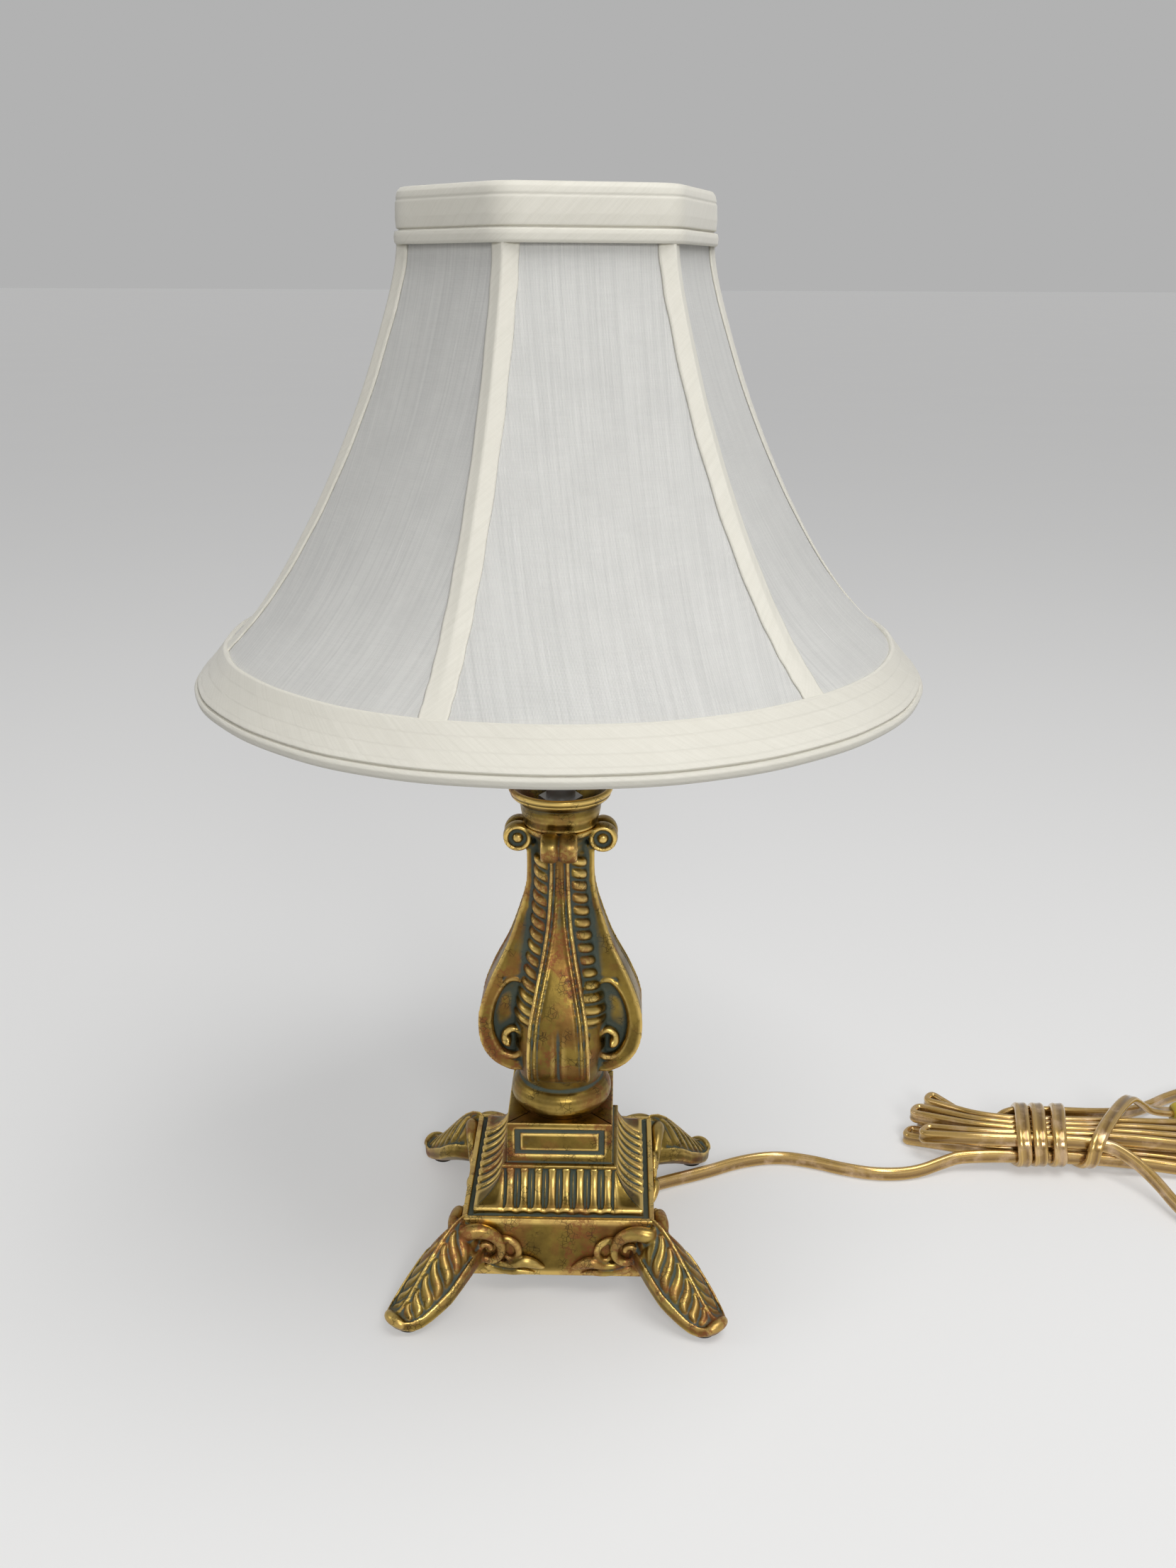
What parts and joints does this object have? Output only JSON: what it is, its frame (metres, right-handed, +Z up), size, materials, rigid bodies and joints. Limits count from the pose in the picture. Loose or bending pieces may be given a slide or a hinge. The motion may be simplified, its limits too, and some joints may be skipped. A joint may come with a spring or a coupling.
{
  "type": "candlestick lamp",
  "caption": "A table lamp with an aged brass candlestick base on leaf feet, a hexagonal bell shade in ribbed grey silk with cream tape, and a gold cord tied in a hank.",
  "frame": {"origin": "on the table, under the centre of the lamp's column", "axes": "+Z up, +X to the right when facing the front of the base, +Y to the rear; the base is square to X and Y and the front is toward -Y"},
  "size_m": [0.4264, 0.2276, 0.355],
  "materials": {
    "antique_brass": "aged, with bright worn edges and green and brown stains in the recesses",
    "felt": "short dark felt",
    "plain_steel": "zinc plated",
    "dark_plastic": "moulded black",
    "bright_brass": "lacquered sheet brass",
    "card": "pressed grey-brown fibre",
    "aluminium_shell": "thin rolled shell",
    "bulb_glass": "frosted white",
    "shade_silk": "grey-white ribbed silk with fine slubs",
    "shade_trim": "cream bias tape",
    "white_wire": "white painted wire",
    "brass_wire": "brass plated wire",
    "gold_cord": "clear gold vinyl over twisted copper",
    "yellow_plug": "translucent yellow vinyl"
  },
  "bodies": {
    "lamp": {"base_plinth": "antique_brass", "column_casting": "antique_brass", "candle_cup": "antique_brass", "foot_front_right": "antique_brass", "foot_rear_right": "antique_brass", "foot_rear_left": "antique_brass", "foot_front_left": "antique_brass", "foot_pads": "felt", "foot_screws": "plain_steel", "threaded_pipe": "plain_steel", "base_washer": "plain_steel", "lock_washer": "plain_steel", "base_nut": "plain_steel", "cup_washer": "plain_steel", "cup_nut": "plain_steel", "cord_bushing": "dark_plastic", "socket_cap": "bright_brass", "socket_shell": "bright_brass", "socket_liner": "card", "socket_body": "dark_plastic", "screw_shell": "aluminium_shell", "centre_contact": "bright_brass", "terminal_screws": "bright_brass", "lead_wires": "gold_cord", "cord_free_run": "gold_cord", "cord_hank": "gold_cord", "cord_loose_loop": "gold_cord", "cord_wraps": "gold_cord", "plug_body": "yellow_plug", "plug_blades": "bright_brass"},
    "switch": {"switch_shaft": "bright_brass", "switch_knob": "dark_plastic"},
    "bulb": {"bulb_glass": "bulb_glass", "bulb_cap": "aluminium_shell", "bulb_contact": "bright_brass"},
    "shade": {"shade_panel_1": "shade_silk", "shade_panel_2": "shade_silk", "shade_panel_3": "shade_silk", "shade_panel_4": "shade_silk", "shade_panel_5": "shade_silk", "shade_panel_6": "shade_silk", "shade_rib_tapes": "shade_trim", "shade_top_band": "shade_trim", "shade_bottom_hem": "shade_trim", "shade_top_ring": "white_wire", "shade_bottom_ring": "white_wire", "shade_ribs": "white_wire", "bulb_clip": "brass_wire", "shade_spider": "brass_wire", "clip_screw": "brass_wire"}
  },
  "joints": [
    {"name": "switch_turn", "type": "hinge", "parent": "lamp", "child": "switch", "pos_m": [0.02, 0, 0.204], "axis": [1, 0, 0], "continuous": true},
    {"name": "bulb_turn", "type": "hinge", "parent": "lamp", "child": "bulb", "pos_m": [0, 0, 0.25], "axis": [0, 0, 1], "continuous": true},
    {"name": "shade_lift", "type": "slide", "parent": "bulb", "child": "shade", "axis": [0, 0, 1], "range_m": [0, 0.12]}
  ]
}
